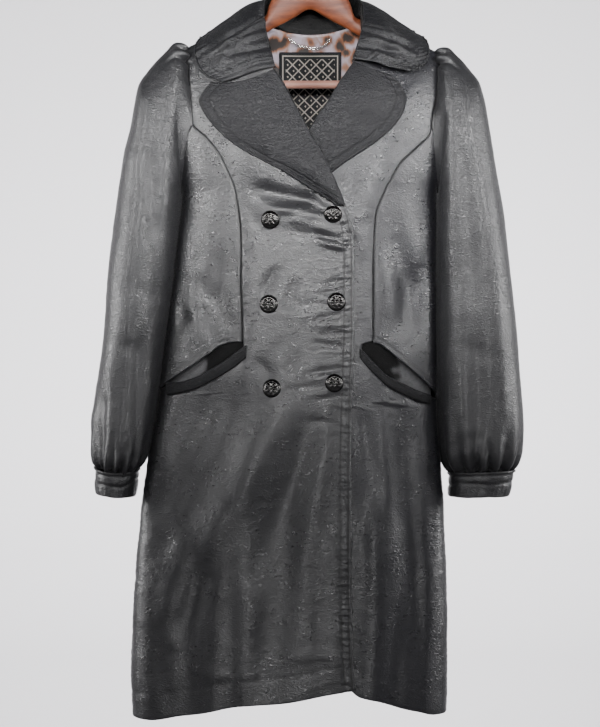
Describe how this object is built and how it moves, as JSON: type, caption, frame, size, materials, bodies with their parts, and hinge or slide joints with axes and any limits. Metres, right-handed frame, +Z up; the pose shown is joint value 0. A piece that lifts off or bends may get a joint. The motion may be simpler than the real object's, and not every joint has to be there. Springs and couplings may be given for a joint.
{
  "type": "trench coat",
  "caption": "Double-breasted satin coat with puff sleeves, wide collar and lapels and slanted welt pockets, hung on a wooden hanger with a metal hook.",
  "frame": {"origin": "inside top of the hook, where it hangs on a rail", "axes": "+Z up, -Y to the front of the coat, +X to its wearer's left"},
  "size_m": [0.5845, 0.1293, 1.0719],
  "materials": {
    "satin": "charcoal crinkle satin",
    "lining": "pale printed lining",
    "label": "woven label",
    "pocket": "matte pocketing",
    "wood": "lacquered",
    "bar": "lacquered",
    "metal": "polished",
    "button": "dark antique metal"
  },
  "bodies": {
    "root": {"front_right": "satin", "front_left": "satin", "side_front_right": "satin", "side_front_left": "satin", "back": "satin", "sleeve_right": "satin", "sleeve_left": "satin", "cuff_right": "satin", "cuff_left": "satin", "lapel_right": "satin", "lapel_left": "satin", "collar": "satin", "collar_stand": "satin", "pocket_welt_right": "satin", "pocket_welt_left": "satin", "pocket_backing_right": "pocket", "pocket_backing_left": "pocket", "lining_back": "lining", "label": "label", "hang_chain": "metal", "button_1": "button", "button_2": "button", "button_3": "button", "button_4": "button", "button_5": "button", "button_6": "button", "hanger_arms": "wood", "trouser_bar": "bar", "hook": "metal"}
  },
  "joints": []
}
